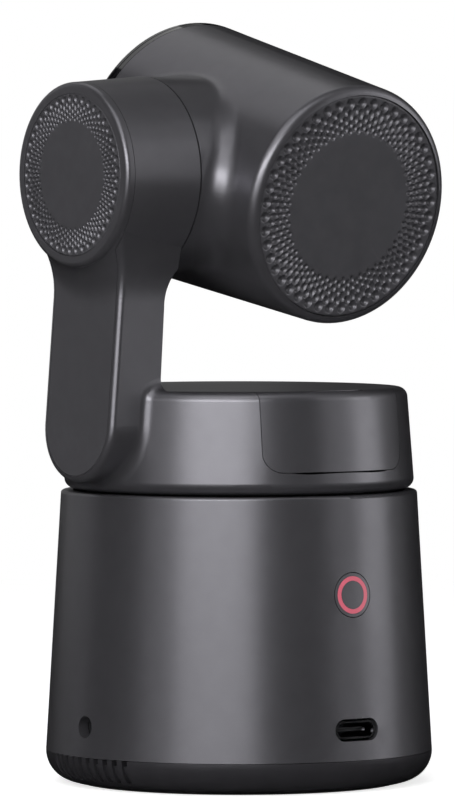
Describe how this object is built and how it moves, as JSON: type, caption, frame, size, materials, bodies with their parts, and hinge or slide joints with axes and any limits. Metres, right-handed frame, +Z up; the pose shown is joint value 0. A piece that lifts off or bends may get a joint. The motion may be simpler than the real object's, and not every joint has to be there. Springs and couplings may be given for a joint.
{
  "type": "pan-tilt streaming camera",
  "caption": "Desk camera: a round tapered base, a turning turret with a side arm, and a tilting barrel-shaped head with a lens at the front and a dimpled disc at the back.",
  "frame": {"origin": "mouth of the tripod socket, on the pan axis in the plane that the foot stands on", "axes": "+Z up along the pan axis; the lens faces -Y; the arm stands at +X; the power button, charging port and port door are at +Y"},
  "size_m": [0.0735, 0.071, 0.1396],
  "materials": {
    "casing": "satin dark grey plastic with a metallic look",
    "black_gloss": "polished black",
    "grille": "matt dark grey with pressed dimples",
    "dark_plastic": "fine texture, near black",
    "rubber": "matt",
    "light_ring": "frosted, lit red",
    "steel": "plain machined",
    "trim": "dark anodised",
    "board": "green solder mask",
    "chip": "moulded black",
    "heat_sink": "plain extruded",
    "battery": "wrapped cell",
    "motor": "laminated iron and magnets",
    "lens_glass": "coated clear glass"
  },
  "bodies": {
    "base": {"base_shell": "casing", "bottom_cover": "casing", "rubber_foot": "rubber", "tripod_bush": "steel", "bottom_screws": "steel", "base_frame": "dark_plastic", "main_board": "board", "main_processor": "chip", "heat_sink": "heat_sink", "usb_receptacle": "steel", "audio_jack": "chip", "battery_cradle": "dark_plastic", "battery_pack": "battery", "button_board": "board", "tact_switch": "chip", "base_top_plate": "dark_plastic", "plate_screws": "steel", "pan_bearing": "steel", "pan_motor_stator": "motor"},
    "power_button": {"power_button_cap": "casing", "button_light_ring": "light_ring"},
    "turret": {"turret_shell": "casing", "turret_floor": "dark_plastic", "turret_screws": "steel", "pan_hub": "steel", "pan_rotor": "motor", "turret_board": "board", "hdmi_socket": "steel", "card_socket": "chip", "memory_card": "chip", "port_panel": "dark_plastic", "door_hinge_pin": "steel", "arm_cover": "casing", "arm_grille": "grille", "tilt_bearing": "steel", "tilt_motor_stator": "motor", "encoder_board": "board"},
    "door": {"port_door": "casing"},
    "head": {"head_shell": "casing", "front_bezel": "black_gloss", "front_fascia": "black_gloss", "lens_trim_ring": "trim", "rear_grille": "grille", "head_chassis": "dark_plastic", "chassis_screws": "steel", "tilt_hub": "steel", "tilt_rotor": "motor", "lens_barrel": "dark_plastic", "front_lens": "lens_glass", "rear_lens": "lens_glass", "image_sensor": "chip", "sensor_board": "board", "head_heat_sink": "heat_sink", "microphone_board": "board", "head_microphones": "chip"},
    "focus_group": {"focus_carrier": "dark_plastic", "focus_lens": "lens_glass"}
  },
  "joints": [
    {"name": "pan", "type": "hinge", "parent": "base", "child": "turret", "pos_m": [0, 0, 0], "axis": [0, 0, 1], "range_deg": [-150, 150]},
    {"name": "tilt", "type": "hinge", "parent": "turret", "child": "head", "pos_m": [0, 0, 0.1115], "axis": [1, 0, 0], "range_deg": [-78.1, 51.9]},
    {"name": "port_door", "type": "hinge", "parent": "turret", "child": "door", "pos_m": [0, 0.03014, 0.0599], "axis": [-1, 0, 0], "range_deg": [0, 85]},
    {"name": "power_button", "type": "slide", "parent": "base", "child": "power_button", "axis": [0, -1, 0], "range_m": [0, 0.00035], "stiffness_N_per_m": 3000},
    {"name": "focus", "type": "slide", "parent": "head", "child": "focus_group", "axis": [0, 0.9785, -0.2062], "range_m": [0, 0.003]}
  ]
}
